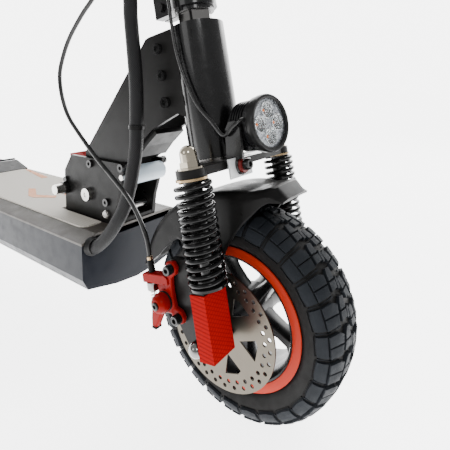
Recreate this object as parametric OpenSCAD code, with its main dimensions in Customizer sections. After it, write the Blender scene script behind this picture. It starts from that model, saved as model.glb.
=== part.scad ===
// Folding electric kick scooter with a sprung fork, all dimensions in millimetres.
// +X points forwards, +Y to the rider's left, +Z up; the ground is z = 0 and the wheelbase is centred on x = 0.

/* [Wheels] */
// Outside diameter of both tyres
tyre_d = 256; // [248:1:260]
// Width of both tyres
tyre_w = 80; // [74:1:82]
// Distance between the two axles
wheelbase = 880; // [870:1:900]
// Diameter of the front brake disc
disc_d = 140; // [130:1:144]

/* [Steering] */
// Angle of the steering axis from upright in degrees
rake = 11.6; // [11:0.1:12.2]
// Distance of the front axle ahead of the steering axis
fork_offset = 15.4; // [14:0.1:17]
// Height of the handlebar along the steering axis above the front axle
bar_t = 1000; // [960:5:1030]
// Width of the handlebar over its grips
bar_w = 600; // [560:5:640]
// Outside diameter of the steering stem
stem_d = 51; // [48:1:52]
// Outside diameter of the head tube
head_d = 69; // [66:1:70]

/* [Suspension] */
// Distance of each front strut from the middle plane
strut_y = 92; // [91:0.5:94]
// Distance of the struts ahead of the steering axis
strut_s = 34.8; // [34:0.2:36]
// Outside diameter of the front coil springs
spring_d = 42; // [38:1:42]
// Wire diameter of the front coil springs
spring_wire = 4.8; // [4:0.2:6]
// Turns in each front spring
spring_turns = 13; // [10:1:13]

/* [Deck] */
// Width of the deck
deck_w = 194; // [190:1:198]
// Position of the deck's front face
deck_front = 229; // [225:1:232]
// Position of the deck's rear face
deck_rear = -270; // [-276:1:-268]
// Height of the deck's top plate
deck_z = 194; // [193:0.5:195]
// Thickness of the standing mat
mat_t = 2.3; // [2:0.1:3]

/* [Folding joint] */
// Position of the folding pivot along the deck
fold_x = 165; // [164:1:166]
// Height of the folding pivot
fold_z = 232; // [231:1:233]

/* [Display] */
// Which sub-part is drawn

/* [Hidden] */
$fn = 48;
R = tyre_d / 2;
fx = wheelbase / 2;
rx = -wheelbase / 2;
ax = fx - fork_offset * cos(rake);
az = R - fork_offset * sin(rake);
dh = deck_w / 2;
black = [0.06, 0.058, 0.055];
satin = [0.10, 0.098, 0.095];
steel = [0.72, 0.72, 0.70];
red = [0.80, 0.10, 0.05];

// centre lines of the held cables
sleeve_path = [[230,-82,177],[237,-82,177.5],[248,-82,185],[262,-79,199],[277,-74,222],[286,-69,243],[295,-65,277],[303,-63,318],[304,-62,350],[305,-62,397],
 [302,-62,436],[297,-62,487],[296,-62,513],[280,-58,600],[264,-50,700],[245,-43,800],[226,-39,900],[211,-38,980],[204,-38,1056]];
brake_path = [[353,-88,201],[351,-88,211],[347,-88,224],[335,-88,244],[317,-88,264],[286,-88,286],[253,-88,308],[219,-88,335],[194,-88,358],
 [180,-88,385],[176,-88,413],[184,-88,436],[202,-88,463],[232,-88,491],[262,-87,515],[286,-84,548],[290,-80,600],[278,-78,700],[262,-86,800],
 [250,-102,900],[248,-122,980],[250,-140,1050],[250.2,-147,1094]];
lamp_path = [[455,-36,381],[451,-42,367],[442,-44,356],[429,-44,346],[410,-43,361],[386,-41,381],[367,-40,411],[354,-40,442],[345,-40,480],
 [338,-40,512],[314,-46,570],[289,-52,622]];

module ff() { translate([ax, 0, az]) rotate([0, -rake, 0]) children(); }
module ycyl(r, y0, y1, fn = 48) { translate([0, y0, 0]) rotate([-90, 0, 0]) cylinder(r = r, h = y1 - y0, $fn = fn); }
module at(x, z) { translate([x, 0, z]) children(); }
module plate_y(pts, y0, y1) { translate([0, y1, 0]) rotate([90, 0, 0]) linear_extrude(y1 - y0) polygon(pts); }
module box(a, b) { translate(a) cube(b - a); }
module rod(a, b, r) { d = b - a; translate(a) rotate([0, acos(d.z / norm(d)), atan2(d.y, d.x)]) cylinder(r = r, h = norm(d), $fn = 32); }
module both() { children(); mirror([0, 1, 0]) children(); }
module rrect(x0, x1, y0, y1, r) {
  translate([x0 + r, y0]) square([x1 - x0 - 2*r, y1 - y0]);
  translate([x0, y0 + r]) square([x1 - x0, y1 - y0 - 2*r]);
  for (x = [x0 + r, x1 - r], y = [y0 + r, y1 - r]) translate([x, y]) circle(r = r);
}

// a tube swept along a list of points, or along a helix
function unit(v) = v / norm(v);
function tang(p, i) = unit(p[min(i + 1, len(p) - 1)] - p[max(i - 1, 0)]);
function ring(c, t, r, n, ref) = let (a = unit(cross(ref, t)), b = cross(t, a)) [for (j = [0:n-1]) c + r * (cos(360*j/n) * a + sin(360*j/n) * b)];
module sweep(p, r, n, ref) {
  m = len(p);
  pts = [for (i = [0:m-1]) each ring(p[i], tang(p, i), r, n, ref)];
  faces = concat([[for (j = [0:n-1]) j]], [[for (j = [n-1:-1:0]) (m-1)*n + j]],
    [for (i = [0:m-2], j = [0:n-1]) [i*n + j, (i+1)*n + j, (i+1)*n + (j+1)%n]],
    [for (i = [0:m-2], j = [0:n-1]) [i*n + j, (i+1)*n + (j+1)%n, i*n + (j+1)%n]]);
  polyhedron(points = pts, faces = faces, convexity = 8);
}
function helix(rad, z0, z1, turns, seg) = [for (i = [0:turns*seg]) [rad*cos(360*i/seg), rad*sin(360*i/seg), z0 + (z1-z0)*i/(turns*seg)]];

// ---------------------------------------------------------------- deck
deck_out = [[-dh,182],[-dh,133],[-dh+8,117],[-40,106],[0,102],[40,106],[dh-8,117],[dh,133],[dh,182]];
deck_in = [[-dh+3,183],[-dh+3,134],[-dh+11,119.5],[-40,109.2],[0,105.2],[40,109.2],[dh-11,119.5],[dh-3,134],[dh-3,183]];
module along_x(x0, x1) { translate([x0, 0, 0]) rotate([90, 0, 90]) linear_extrude(x1 - x0) children(); }
module deck_tray() {
  color([0.05, 0.055, 0.07]) difference() {
    union() {
      along_x(deck_rear, deck_front) polygon(deck_out);
      box([-120, dh-2, 108], [-88, 113, 133]);
    }
    along_x(deck_rear + 4, deck_front - 4) polygon(deck_in);
    translate([deck_front - 6, -82, 178]) rotate([0, 90, 0]) cylinder(r = 3.5, h = 4);
    at(120, 150) ycyl(9.3, 80, 110);
    at(-104, 120) ycyl(4.3, 98, 120, 32);
  }
}
module deck_top_plate() {
  color([0.30, 0.27, 0.23]) along_x(deck_rear, deck_front)
    polygon([[-dh,182],[-dh,185],[-75,deck_z],[75,deck_z],[dh,185],[dh,182],[dh-3,182],[74.4,deck_z-3.5],[-74.4,deck_z-3.5],[-dh+3,182]]);
}
module deck_mat() {
  color([0.68, 0.66, 0.61]) translate([0, 0, deck_z]) linear_extrude(mat_t) difference() {
    rrect(-255, 200, -75, 75, 14);
    translate([92, -44]) square([140, 88]);
  }
}
module rear_footrest() {
  color(black) plate_y([[-258,deck_z+0.1],[-258,deck_z+3],[-310,deck_z+17],[-322,deck_z+16],[-320,deck_z+11],[deck_rear-3,deck_z+0.1]], -78, 78);
  color(black) difference() {
    both() {
      plate_y([[deck_rear-0.1,110],[deck_rear-0.1,180],[-322,199],[-340,211],[-355,211],[-355,199],[-330,180],[-300,150],[-300,112]], 50, 58);
      at(-345, 204) ycyl(6, 57, 88);
      translate([-345, 77, 189]) cylinder(r = 9, h = 10);
    }
    at(-288, 128) ycyl(6.05, -60, 60);
    both() at(-345, 204) ycyl(2.5, 80, 90, 24);
  }
}
module battery_pack() {
  color([0.10, 0.22, 0.45]) { box([-250,-80,124],[20,80,180]); box([20,-20,150],[28,20,165]); }
}
module motor_controller() {
  color([0.55, 0.56, 0.58]) { box([60,-50,124],[190,50,152]); for (x = [64:12:184]) box([x,-50,152],[x+4,50,164]); }
}
module charge_socket() {
  color(black) difference() { at(120, 150) { ycyl(9, 88, 98); ycyl(12, dh + 0.1, 100); } at(120, 150) ycyl(5, 90, 101); }
}

// ---------------------------------------------------------------- folding base
module base_bracket() {
  color(satin) difference() {
    union() {
      both() plate_y([[100,deck_z],[100,262],[120,289],[253,289],[232,226],[227,deck_z]], 34, 40);
      box([100,-40,deck_z],[227,40,deck_z+6]);
      box([105,-13,deck_z+5],[125,13,262]);
      at(115, 262) ycyl(7, -13, 13, 32);
    }
    box([90,-8.4,244],[140,8.4,280]);
    at(115, 262) ycyl(3.3, -20, 20, 32);
    at(fold_x, fold_z) ycyl(6.3, -50, 50);
    at(105, 233) ycyl(4.3, -50, -30, 32);
    at(105, 247) ycyl(2.2, -50, -30, 24);
    for (p = [[172,281],[246,284],[210,227]]) at(p[0], p[1]) ycyl(3.3, -50, 50, 32);
    at(210, 209) ycyl(6.3, -50, 50);
    at(247, 270) ycyl(4.3, -50, 50, 32);
  }
}
module base_bolts() {
  color(steel) {
    both() for (p = [[172,281],[246,284],[210,227]]) at(p[0], p[1]) { ycyl(3, 34.5, 41, 32); difference() { ycyl(6, 40, 44); ycyl(3, 42, 45, 6); } }
    at(105, 233) difference() { ycyl(10, -48, -40); ycyl(4.3, -49, -39, 32); }
    at(105, 247) { ycyl(4.5, -44, -40, 32); ycyl(2, -41, -35, 24); }
  }
}
module hinge_shafts() {
  color(steel) {
    at(fold_x, fold_z) { ycyl(6, -46, 46); both() difference() { ycyl(10, 40, 47); ycyl(4, 44, 48, 6); } }
    at(210, 209) { ycyl(6, -43, 43); both() ycyl(5, 42, 45); }
    at(247, 270) { ycyl(4, -43, 43, 32); }
  }
}
module bumper_roller() { color([0.75, 0.82, 0.86]) at(247, 270) difference() { ycyl(13.5, -33.6, 33.6); ycyl(4.3, -40, 40, 32); } }
module cable_sleeve() { color(black) sweep(sleeve_path, 9, 8, [0, 1, 0]); }
module lock_pin() { color(steel) at(105, 233) { ycyl(4, -50, -34.6, 32); ycyl(8, -62, -48.3); } }
module release_lever() {
  color(red) { plate_y([[121,257],[122,268],[100,288],[66,281],[67,273],[98,274],[109,257]], -8, 8); at(115, 262) ycyl(3, -15, 15, 32); }
}
module kickstand() {
  color(satin) {
    at(-104, 120) { ycyl(4, 98.5, 118, 32); ycyl(9, 113.4, 126); }
    rod([-104, 120, 120], [-86, 158, 9], 6);
    rod([-98, 158, 8.5], [-72, 158, 8.5], 6.5);
  }
}

// ---------------------------------------------------------------- folding arm with the head tube
arm_pts = [[149,297],[290,462],[330,478],[370,470],[374,360],[347,366],[300,342],[279,323],[254,296],[237,287],[228,268],[178,214],[165,210],[151,216],[146,232],[147,262]];
module head_tube() { color([0.02,0.02,0.02]) ff() translate([0, 0, 191]) difference() { cylinder(d = head_d, h = 169, $fn = 96); translate([0,0,-1]) cylinder(r = 30, h = 171, $fn = 96); } }
module arm_plates() {
  color(satin) difference() {
    union() {
      both() plate_y(arm_pts, 26, 32);
      plate_y([[222,375],[290,453],[296,448],[228,370]], -27, 27);
      plate_y([[262,304],[279,323],[300,342],[304,336],[283,317],[267,299]], -27, 27);
      at(fold_x, fold_z) ycyl(13, -27, 27);
      plate_y([[284,455],[282,466],[290,470],[296,462]], -8, 8);
      plate_y([[284,455],[280,456],[296,462]], -27, 27);
    }
    ff() translate([0, 0, 150]) cylinder(d = head_d + 0.6, h = 300, $fn = 96);
    ff() translate([-100, -60, 358.5]) cube([200, 120, 40]);
    at(fold_x, fold_z) ycyl(6.05, -50, 50);
    ff() for (t = [269, 304, 339]) at(-43, t) ycyl(4.3, -50, 50, 32);
  }
}
module arm_bolts() {
  color(black) ff() for (t = [269, 304, 339]) at(-43, t) { ycyl(4, -35, 35, 32); both() difference() { ycyl(7, 32, 37.5, 32); ycyl(3.5, 34, 38, 6); } }
}
module headset_bearings() { color(steel) ff() for (t = [198, 346]) translate([0, 0, t]) difference() { cylinder(r = 29.7, h = 12); translate([0,0,-1]) cylinder(r = 15.4, h = 14); } }

// ---------------------------------------------------------------- fork, stem and handlebar
module steerer_tube() { color(steel) ff() translate([0, 0, 187]) difference() { cylinder(r = 15, h = 190); translate([0,0,2]) cylinder(r = 12, h = 200); } }
module headset_nut() {
  color(steel) ff() {
    translate([0, 0, 361]) difference() { cylinder(r = 23, h = 15.5, $fn = 6); translate([0,0,-1]) cylinder(r = 15.3, h = 20); }
    translate([0, 0, 187]) difference() { cylinder(r = 35.6, h = 3.4); translate([0,0,-1]) cylinder(r = 15.3, h = 20); }
  }
}
module fork_crown() {
  color(satin) ff() translate([0, 0, 178]) difference() {
    linear_extrude(9) {
      polygon([[-34,-30],[-34,30],[25,strut_y+9],[47,strut_y+7],[49,38],[49,-38],[47,-strut_y-7],[25,-strut_y-9]]);
      circle(r = 38);
      for (y = [-strut_y, strut_y]) translate([strut_s, y]) circle(r = 16);
    }
    for (y = [-strut_y, strut_y]) translate([strut_s, y, -1]) cylinder(r = 6.3, h = 20);
    translate([42, -28, 3.5]) rotate([0, 90, 0]) cylinder(r = 3.3, h = 10, $fn = 24);
  }
}
module crown_nuts() {
  color(steel) ff() for (y = [-strut_y, strut_y]) translate([strut_s, y, 0]) {
    translate([0, 0, 187]) difference() { union() { cylinder(r = 11, h = 8, $fn = 6); cylinder(r = 14, h = 2); translate([0,0,8]) cylinder(r = 9.2, h = 8); translate([0,0,16]) sphere(r = 9.2); } translate([0,0,-1]) cylinder(r = 6.3, h = 15); }
    translate([0, 0, 175.8]) difference() { cylinder(r = 17, h = 2); translate([0,0,-1]) cylinder(r = 10.3, h = 4); }
  }
}
module shock_rods() {
  color(black) ff() for (y = [-strut_y, strut_y]) translate([strut_s, y, 0]) { translate([0,0,20]) cylinder(r = 6, h = 179); translate([0,0,92]) cylinder(r = 10, h = 85.9); }
}
module front_springs() {
  color(satin) ff() for (y = [-strut_y, strut_y]) translate([strut_s, y, 0])
    sweep(helix((spring_d - spring_wire) / 2, 67.4, 172.8, spring_turns, 12), spring_wire / 2, 6, [0, 0, 1]);
}
module headlight_bracket() {
  color(satin) ff() difference() {
    union() { box([40,-40,187],[66,40,188.6]); both() plate_y([[44,187],[66,187],[68,222],[62,230],[54,230],[48,222]], 36, 39.5); }
    at(60, 222) ycyl(4.3, -50, 50, 32);
    box([51.9,-50.5,186],[57.4,-5.5,190]);
    cylinder(r = 38, h = 300);
  }
}
module crown_stop_bolt() {
  color([0.5,0.5,0.48]) ff() { box([52.2,-50,166.5],[54.2,-6,189]); translate([43,-28,181.5]) rotate([0,90,0]) cylinder(r = 3, h = 12, $fn = 24);
    translate([54.2,-28,181.5]) rotate([0,90,0]) { cylinder(r = 9, h = 2.5); difference() { cylinder(r = 5, h = 8); translate([0,0,5]) cylinder(r = 2.5, h = 4, $fn = 6); } } }
}
module stem_tube() { color([0.04,0.04,0.04]) ff() translate([0, 0, 377]) difference() { cylinder(d = stem_d, h = bar_t - 18 - 377, $fn = 96); translate([0,0,4]) cylinder(d = stem_d - 7, h = 700, $fn = 96); } }
module stem_clamp() {
  color([0.04,0.04,0.04]) ff() difference() {
    union() { translate([0,0,382]) cylinder(r = 30, h = 50, $fn = 96); box([-56,-15,383],[-20,15,431]); }
    translate([0,0,370]) cylinder(d = stem_d + 0.6, h = 90, $fn = 96);
    box([-60,-1.5,370],[-20,1.5,440]);
    for (t = [396, 418]) at(-44, t) ycyl(4.3, -30, 30, 32);
    for (t = [396, 418]) at(-44, t) ycyl(7.3, 11, 30, 32);
  }
}
module stem_clamp_bolts() {
  color(black) ff() for (t = [396, 418]) at(-44, t) { ycyl(4, -15.5, 15, 32); difference() { ycyl(7, 11, 18, 32); ycyl(3.5, 15, 19, 6); } ycyl(6.5, -19, -15, 32); }
}
module handlebar() {
  color(black) ff() {
    at(0, bar_t) difference() { union() { ycyl(11, -bar_w/2 + 4, bar_w/2 - 4); ycyl(18, -30, 30); ycyl(15.5, 90, 110); } ycyl(8.5, -bar_w/2, bar_w/2); translate([-30, 100, 0]) rotate([0, 90, 0]) cylinder(r = 6.3, h = 18, $fn = 32); }
    translate([0, 0, bar_t - 18]) difference() { cylinder(r = 22, h = 12); at(0, 18) ycyl(17, -40, 40); }
  }
}
module grips() { color(black) ff() both() at(0, bar_t) difference() { union() { ycyl(16, bar_w/2 - 130, bar_w/2); ycyl(18, bar_w/2 - 130, bar_w/2 - 124); } ycyl(11.3, bar_w/2 - 131, bar_w/2 - 3.6); } }
module display_unit() {
  color(black) ff() { box([-22,-38,bar_t+22],[34,38,bar_t+38]); box([-8,-14,bar_t+18.2],[14,14,bar_t+23]); color([0.1,0.14,0.16]) box([-16,-30,bar_t+37.9],[28,30,bar_t+39]); }
}
module brake_perches() {
  color(black) ff() both() difference() {
    union() { at(0, bar_t) ycyl(17, 136, 158, 48); box([8,138,bar_t-9],[22,156,bar_t+9]); translate([22,138,bar_t+5.2]) cube([18,20,4]); translate([22,138,bar_t-9]) cube([18,20,4]); translate([24.8,147,bar_t-13]) cylinder(r = 4.5, h = 5, $fn = 32); }
    at(0, bar_t) ycyl(11.3, 130, 160, 48);
    translate([33,148,bar_t-20]) cylinder(r = 3.3, h = 40, $fn = 32);
  }
}
module lever() {
  translate([33,148,bar_t-9]) cylinder(r = 3, h = 18, $fn = 32);
  translate([0,0,bar_t-4.6]) linear_extrude(9.2) polygon([[27,143],[27,153],[44,164],[56,190],[60,235],[56,276],[60,280],[66,278],[69,235],[65,185],[56,156],[40,143]]);
}
module lever_left() { color(satin) ff() lever(); }
module lever_right() { color(satin) ff() mirror([0,1,0]) lever(); }
module throttle() {
  color(black) ff() at(0, bar_t) difference() { union() { ycyl(16, -132, -110, 48); translate([8,-128,-6]) cube([12,14,5]); translate([10,-128,-32]) cube([6,14,30]); } ycyl(11.3, -140, -100, 48); }
}
module horn_button() { color(red) ff() { translate([-20.5,100,bar_t]) rotate([0,90,0]) { cylinder(r = 6, h = 5, $fn = 32); } } }
module front_brake_cable() { color(black) sweep(brake_path, 2.9, 8, [0, 1, 0]); }
module lamp_cable() { color(black) sweep(lamp_path, 2.2, 8, [0, 1, 0]); }

// ---------------------------------------------------------------- headlight, axis along s at t = 222
module sx(s, t = 222) { translate([60, 0, t]) rotate([0, 0, -8]) translate([s - 60, 0, 0]) rotate([0, 90, 0]) children(); }
module headlight_body() {
  color(black) ff() difference() {
    union() { sx(42) cylinder(r = 24, h = 10); sx(50) cylinder(r = 27, h = 27); for (s = [51:4:71]) sx(s) cylinder(r = 30.5, h = 1.8); sx(75) cylinder(r = 33, h = 13.5); both() at(60, 222) ycyl(4, 25, 39.8, 32); }
    sx(56) cylinder(r = 20, h = 22); sx(77.8) cylinder(r = 30, h = 12);
  }
}
module headlight_reflector() {
  color([0.85,0.86,0.88]) ff() difference() { sx(78) cylinder(r = 29.6, h = 7); for (y = [-13, 13], t = [-13, 13]) sx(80) translate([-t, y, 0]) cylinder(r1 = 4, r2 = 11.5, h = 6); }
}
module headlight_lens() { color([0.9,0.93,0.96,0.5]) ff() sx(85.2) cylinder(r = 29.6, h = 2.6); }

// ---------------------------------------------------------------- sprung fork legs, brake and fender
module leg_block(pts) {
  difference() {
    union() { box([24.3,77,-6],[43,110.4,64]); plate_y(pts, 76, 86); box([10,76,-6],[26,86,60]); }
    translate([strut_s, strut_y, 1]) cylinder(r = 6.3, h = 80);
    at(fork_offset, 0) ycyl(6.3, 70, 90);
  }
}
module fork_leg_left() { color(satin) ff() leg_block([[25,-10],[25,66],[12,70],[8,84],[-8,84],[-10,-12],[18,-14]]); }
module fork_leg_right() {
  color([0.16,0.15,0.12]) ff() mirror([0,1,0]) difference() {
    leg_block([[25,-10],[25,66],[12,70],[8,86],[-23.5,86],[-23.5,10],[-12,-14],[18,-14]]);
    for (p = [[-17.3,77.7],[-16.4,22.4]]) at(p[0], p[1]) ycyl(3.3, 70, 90, 32);
  }
}
module leg_reflectors() {
  color([0.95,0.05,0.03]) ff() both() { box([43,77,-6],[44.6,112,62]); box([25.5,110.4,-6],[43.2,112,62]); }
}
fend = 148.2;
module front_fender() {
  color(black) translate([fx, 0, R]) {
    rotate([90, 0, 0]) translate([0,0,0]) rotate([0,0,78]) rotate_extrude(angle = 92) translate([fend, -48]) square([2.8, 96]);
    plate_y([for (a = [80:2:102]) [(fend+1)*cos(a), (fend+1)*sin(a)], [-2,fend+3.2], [32,153.5], [62,156], [62,153.6], [34,149]], -33, 33);
    both() difference() {
      plate_y(concat([[58,153],[17,113],[-4,72],[-40,66],[-84,62],[-110,34],[-138,22]], [for (a = [172:-4:76]) [fend*cos(a), fend*sin(a)]]), 45.4, 48);
      plate_y([[-108,36],[-112,50],[-92,66],[-74,66],[-80,50]], 40, 50);
    }
    both() rotate([0,-rake,0]) box([-21,47,73.6],[-9,76,80]);
  }
}
module front_axle() {
  color(steel) translate([fx, 0, R]) {
    ycyl(6, -100, 100);
    both() { ycyl(8.5, 86, 104, 48); translate([0,104,0]) sphere(r = 8.5); }
    ycyl(10, 58.4, 75.8); ycyl(10, -75.8, -63.3);
  }
}
module caliper_body() {
  color(red) ff() mirror([0,1,0]) difference() {
    union() {
      box([-47.5,50,23],[-23.9,92,65]); at(-34, 40) ycyl(10.2, 56, 92);
      box([-31.5,86.1,71],[-9.5,92,84]); box([-31.5,86.1,16],[-9.5,92,29]); box([-31.5,86.1,20],[-23.9,92,80]);
      box([-64,84.5,59],[-24,91.5,69]);
      translate([-55,88,50]) cylinder(r = 7, h = 10, $fn = 48);
      translate([-55,88,68]) cylinder(r = 3.6, h = 19, $fn = 32);
    }
    at(fork_offset, 0) ycyl(74, 59, 65, 96);
    for (p = [[-17.3,77.7],[-16.4,22.4]]) at(p[0], p[1]) ycyl(3.3, 70, 100, 32);
    at(-34, 40) ycyl(3.3, 80, 95, 32);
  }
}
module caliper_bolts() { color(black) ff() mirror([0,1,0]) for (p = [[-17.3,77.7],[-16.4,22.4]]) at(p[0], p[1]) { ycyl(3, 76, 93, 32); difference() { ycyl(5.5, 92.1, 99, 32); ycyl(2.5, 96, 100, 6); } } }
module caliper_arm() {
  color(red) ff() mirror([0,1,0]) { at(-34, 40) { ycyl(3, 82, 94, 32); ycyl(10, 92.6, 106, 48); } plate_y([[-43,42],[-28,32],[-37,15],[-42,9],[-48,9],[-50,16]], 96, 102); }
}

// ---------------------------------------------------------------- wheels
module tyre() {
  rotate([90, 0, 0]) rotate_extrude($fn = 120) difference() {
    intersection() { translate([R - tyre_w/2, 0]) circle(r = tyre_w / 2, $fn = 64); translate([0, -60]) square([R, 120]); }
    translate([R - tyre_w/2, 0]) circle(r = tyre_w/2 - 10, $fn = 64);
    translate([0, -60]) square([74.4, 120]);
    for (s = [-1, 1]) translate([0, s > 0 ? 33 : -83]) square([87, 50]);
  }
}
module front_tyre() { color([0.10,0.10,0.105]) translate([fx, 0, R]) tyre(); }
module front_rim() {
  color([0.72,0.2,0.1]) translate([fx, 0, R]) difference() {
    union() {
      rotate([90, 0, 0]) rotate_extrude($fn = 96) polygon([[69,-36],[86,-36],[86,-33.4],[74,-33.4],[74,33.4],[86,33.4],[86,36],[69,36]]);
      ycyl(22, -60.8, 58);
      for (i = [0:4]) rotate([0, -72*i - 52, 0]) plate_y([[15,-11],[70,-8],[70,8],[15,11]], -14, 14);
    }
    ycyl(6.05, -80, 80);
  }
}
module front_disc() {
  color([0.55,0.53,0.5]) translate([fx, 0, R]) difference() {
    ycyl(disc_d/2, -62.9, -60.9, 96);
    ycyl(10.5, -70, -50);
    for (i = [0:5]) rotate([0, 60*i, 0]) plate_y([[26,-3],[46,-18],[49,0],[46,6]], -70, -50);
    for (i = [0:29]) rotate([0, 12*i, 0]) at(64, 0) ycyl(2.4, -70, -50, 16);
    for (i = [0:29]) rotate([0, 12*i + 6, 0]) at(57.5, 0) ycyl(2.4, -70, -50, 16);
  }
}
module rear_tyre() { color([0.10,0.10,0.105]) translate([rx, 0, R]) tyre(); }
module rear_motor() {
  color(satin) translate([rx, 0, R]) difference() {
    union() {
      rotate([90, 0, 0]) rotate_extrude($fn = 96) polygon([[7.05,-44],[60,-44],[66,-36],[86,-36],[86,-33.4],[74,-33.4],[74,33.4],[86,33.4],[86,36],[66,36],[60,44],[7.05,44]]);
      ycyl(20, -50, 50);
    }
    ycyl(7.05, -80, 80);
  }
}

// ---------------------------------------------------------------- swingarm
module swingarm() {
  color(satin) difference() {
    union() {
      both() plate_y([[-276,118],[-272,128],[-276,138],[-288,142],[-330,146],[-356,146],[-440,144],[-456,138],[-456,118],[-440,110],[-356,114],[-330,112],[-288,114]], 62, 70);
      at(-288, 128) ycyl(6, -76, 76);
      both() box([-353,69,134],[-337,88,146]);
      both() translate([-345, 77, 145]) cylinder(r = 9, h = 10);
      at(rx, R) ycyl(7, -78, 78);
      both() at(rx, R) difference() { ycyl(12, 70, 77, 6); ycyl(2, 75, 78); }
    }
    at(-288, 128) ycyl(2, 70, 80, 24);
  }
}
module rear_springs() { color(red) for (y = [-77, 77]) translate([-345, y, 0]) sweep(helix(12.5, 148.4, 195.6, 6, 12), 2, 6, [0, 0, 1]); }
module rear_fender() {
  color(black) translate([rx, 0, R]) {
    rotate([90, 0, 0]) rotate([0,0,58]) rotate_extrude(angle = 100, $fn = 96) translate([140, -46]) square([3, 92]);
    box([-8,-62,142.4],[8,62,147]);
    both() box([-8,58,14],[8,62,146]);
  }
}
module tail_light() { color([0.9,0.04,0.03]) translate([rx, 0, R]) rotate([0, -150, 0]) box([143.2,-28,-9],[152,28,9]); }

deck_tray();
deck_top_plate();
deck_mat();
rear_footrest();
battery_pack();
motor_controller();
charge_socket();
base_bracket();
base_bolts();
hinge_shafts();
bumper_roller();
cable_sleeve();
lock_pin();
release_lever();
kickstand();
head_tube();
arm_plates();
arm_bolts();
headset_bearings();
steerer_tube();
headset_nut();
fork_crown();
crown_nuts();
shock_rods();
front_springs();
headlight_bracket();
crown_stop_bolt();
stem_tube();
stem_clamp();
stem_clamp_bolts();
handlebar();
grips();
display_unit();
brake_perches();
front_brake_cable();
lamp_cable();
headlight_body();
headlight_reflector();
headlight_lens();
fork_leg_right();
fork_leg_left();
leg_reflectors();
front_fender();
front_axle();
caliper_body();
caliper_bolts();
caliper_arm();
front_tyre();
front_rim();
front_disc();
lever_right();
lever_left();
throttle();
horn_button();
swingarm();
rear_springs();
rear_fender();
tail_light();
rear_tyre();
rear_motor();
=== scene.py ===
import bpy, bmesh, math
from mathutils import Vector, Matrix


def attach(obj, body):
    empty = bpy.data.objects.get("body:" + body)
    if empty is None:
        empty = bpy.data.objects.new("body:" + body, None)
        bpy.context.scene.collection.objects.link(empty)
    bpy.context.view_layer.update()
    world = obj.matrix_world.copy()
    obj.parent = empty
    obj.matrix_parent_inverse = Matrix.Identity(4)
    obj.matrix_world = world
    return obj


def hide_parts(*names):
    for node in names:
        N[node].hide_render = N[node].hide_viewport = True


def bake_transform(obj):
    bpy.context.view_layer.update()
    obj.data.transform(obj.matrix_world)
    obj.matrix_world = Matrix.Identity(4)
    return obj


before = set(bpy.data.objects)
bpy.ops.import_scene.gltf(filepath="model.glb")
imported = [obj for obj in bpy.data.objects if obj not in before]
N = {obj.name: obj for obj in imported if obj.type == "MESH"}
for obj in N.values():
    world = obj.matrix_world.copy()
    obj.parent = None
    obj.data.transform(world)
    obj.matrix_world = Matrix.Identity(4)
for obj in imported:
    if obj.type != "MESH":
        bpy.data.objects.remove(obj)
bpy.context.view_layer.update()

# ------------------------------------------------------------------ frame helpers, millimetres in, metres out
RK = math.radians(11.6)
CR, SR = math.cos(RK), math.sin(RK)
AXX, AZZ = 440 - 15.4 * CR, 128 - 15.4 * SR


def V(x, y, z):
    return Vector((x / 1000, y / 1000, z / 1000))


def F(s, y, t):
    "a point in the steering frame: s ahead of the steering axis, t up along it"
    return V(AXX + s * CR - t * SR, y, AZZ + s * SR + t * CR)


# ------------------------------------------------------------------ camera
yaw, pitch, roll, focal = 0.632, 0.104, 0.006, 388.66
back = Vector((math.sin(yaw) * math.cos(pitch), -math.cos(yaw) * math.cos(pitch), math.sin(pitch)))
right = Vector((0, 0, 1)).cross(back).normalized()
up = back.cross(right)
right, up = right * math.cos(roll) + up * math.sin(roll), up * math.cos(roll) - right * math.sin(roll)
cam_data = bpy.data.cameras.new("Camera")
cam = bpy.data.objects.new("Camera", cam_data)
bpy.context.scene.collection.objects.link(cam)
cam.matrix_world = Matrix((
    (right.x, up.x, back.x, (246.357 + 440) / 1000),
    (right.y, up.y, back.y, -0.393016),
    (right.z, up.z, back.z, 0.403302),
    (0, 0, 0, 1)))
cam_data.sensor_width = 36
cam_data.lens = 36 * focal / 450
cam_data.shift_x = 0.0
cam_data.shift_y = -100 / 450
cam_data.clip_start = 0.02
cam_data.clip_end = 50
bpy.context.scene.camera = cam


# ------------------------------------------------------------------ materials
def nodes_of(name):
    m = bpy.data.materials.new(name)
    m.use_nodes = True
    nt = m.node_tree
    return m, nt, nt.nodes["Principled BSDF"]


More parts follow.
